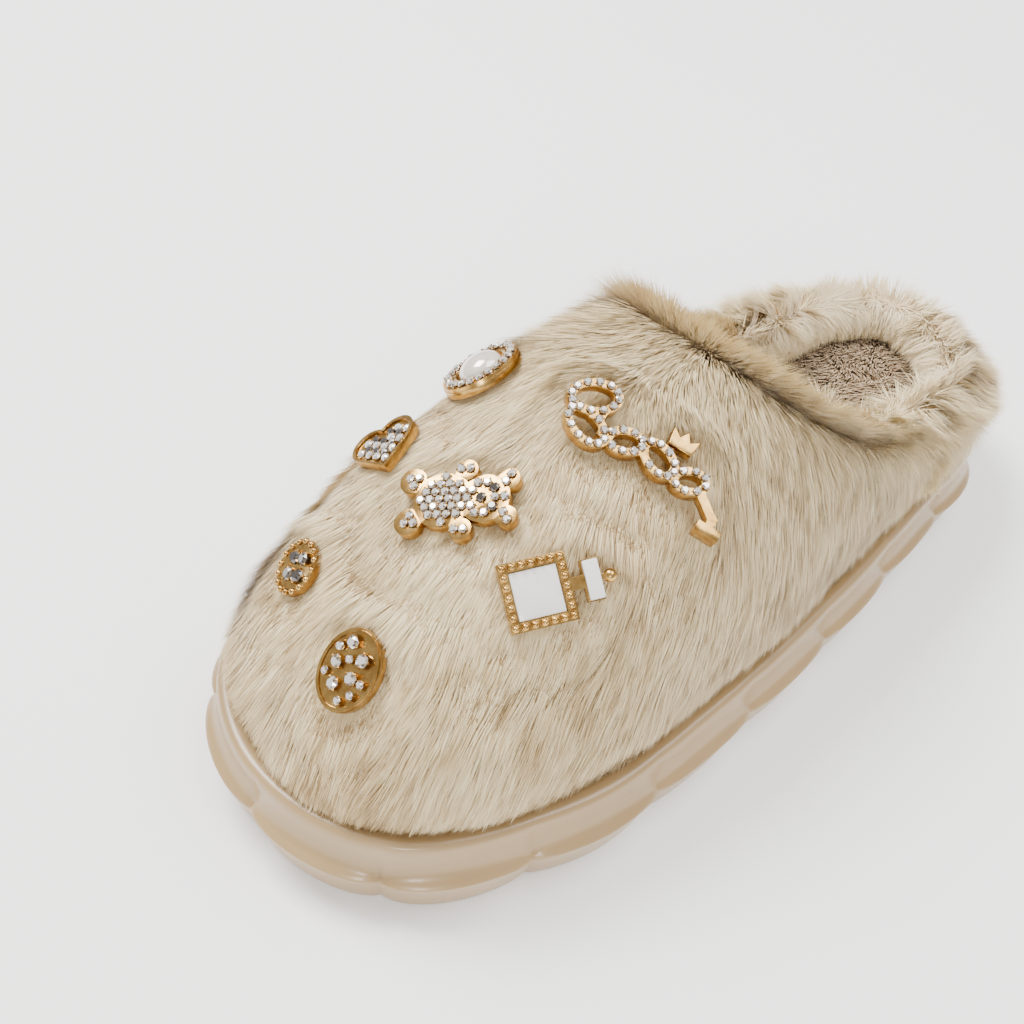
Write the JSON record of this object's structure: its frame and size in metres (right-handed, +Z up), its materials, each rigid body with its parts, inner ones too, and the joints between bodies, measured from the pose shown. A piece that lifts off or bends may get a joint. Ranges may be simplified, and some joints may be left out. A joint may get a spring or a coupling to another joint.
{
  "type": "plush house slipper",
  "caption": "Closed-back plush house slipper with a scalloped foam cup sole, soft pile upper and jewelled charms pinned through the instep.",
  "frame": {"origin": "centre of the footprint's box, on the floor", "axes": "+Z up, toe towards -Y, heel towards +Y, outer (little-toe) side towards +X"},
  "size_m": [0.1036, 0.2756, 0.0903],
  "materials": {
    "eva": "satin moulded foam",
    "fur": "long soft pile",
    "footbed_plush": "short plush",
    "lining": "short plush",
    "foam": "open foam",
    "board": "matte",
    "counter": "matte",
    "gold": "polished gold plate",
    "clear_stone": "faceted, foil backed",
    "black_stone": "faceted",
    "white_stone": "faceted, foil backed",
    "pearl": "pearl",
    "enamel": "gloss enamel",
    "steel": "plain",
    "button": "clear plastic"
  },
  "bodies": {
    "root": {"bear_buttons": "button", "bear_casting": "gold", "bear_dark_stones": "black_stone", "bear_posts": "steel", "bear_stones": "clear_stone", "bottle_buttons": "button", "bottle_casting": "gold", "bottle_panel": "enamel", "bottle_posts": "steel", "bottle_stopper": "enamel", "footbed_foam": "foam", "footbed_plush": "footbed_plush", "heel_counter": "counter", "insole_board": "board", "quarter_foam": "foam", "quarter_fur": "fur", "quarter_lining": "lining", "scroll_buttons": "button", "scroll_casting": "gold", "scroll_crown": "gold", "scroll_posts": "steel", "scroll_stones": "clear_stone", "sole_unit": "eva", "vamp_foam": "foam", "vamp_fur": "fur", "vamp_lining": "lining"},
    "cluster_charm": {"cluster_button": "button", "cluster_casting": "gold", "cluster_post": "steel", "cluster_stones": "clear_stone"},
    "flower_charm": {"flower_button": "button", "flower_casting": "gold", "flower_post": "steel", "flower_stones": "black_stone"},
    "heart_charm": {"heart_black_stones": "black_stone", "heart_button": "button", "heart_casting": "gold", "heart_post": "steel", "heart_white_stones": "white_stone"},
    "pearl_charm": {"pearl_button": "button", "pearl_cabochon": "pearl", "pearl_casting": "gold", "pearl_post": "steel", "pearl_stones": "clear_stone"}
  },
  "joints": [
    {"name": "cluster_spin", "type": "hinge", "parent": "root", "child": "cluster_charm", "pos_m": [0.0038, -0.1144, 0.0477], "axis": [0.0738, -0.6787, 0.7307], "continuous": true},
    {"name": "flower_spin", "type": "hinge", "parent": "root", "child": "flower_charm", "pos_m": [-0.0226, -0.1072, 0.05045], "axis": [-0.2231, -0.6436, 0.7321], "continuous": true},
    {"name": "heart_spin", "type": "hinge", "parent": "root", "child": "heart_charm", "pos_m": [-0.0252, -0.082, 0.06712], "axis": [-0.3819, -0.4383, 0.8137], "continuous": true},
    {"name": "pearl_spin", "type": "hinge", "parent": "root", "child": "pearl_charm", "pos_m": [-0.0232, -0.0572, 0.07829], "axis": [-0.5049, -0.2272, 0.8327], "continuous": true}
  ]
}
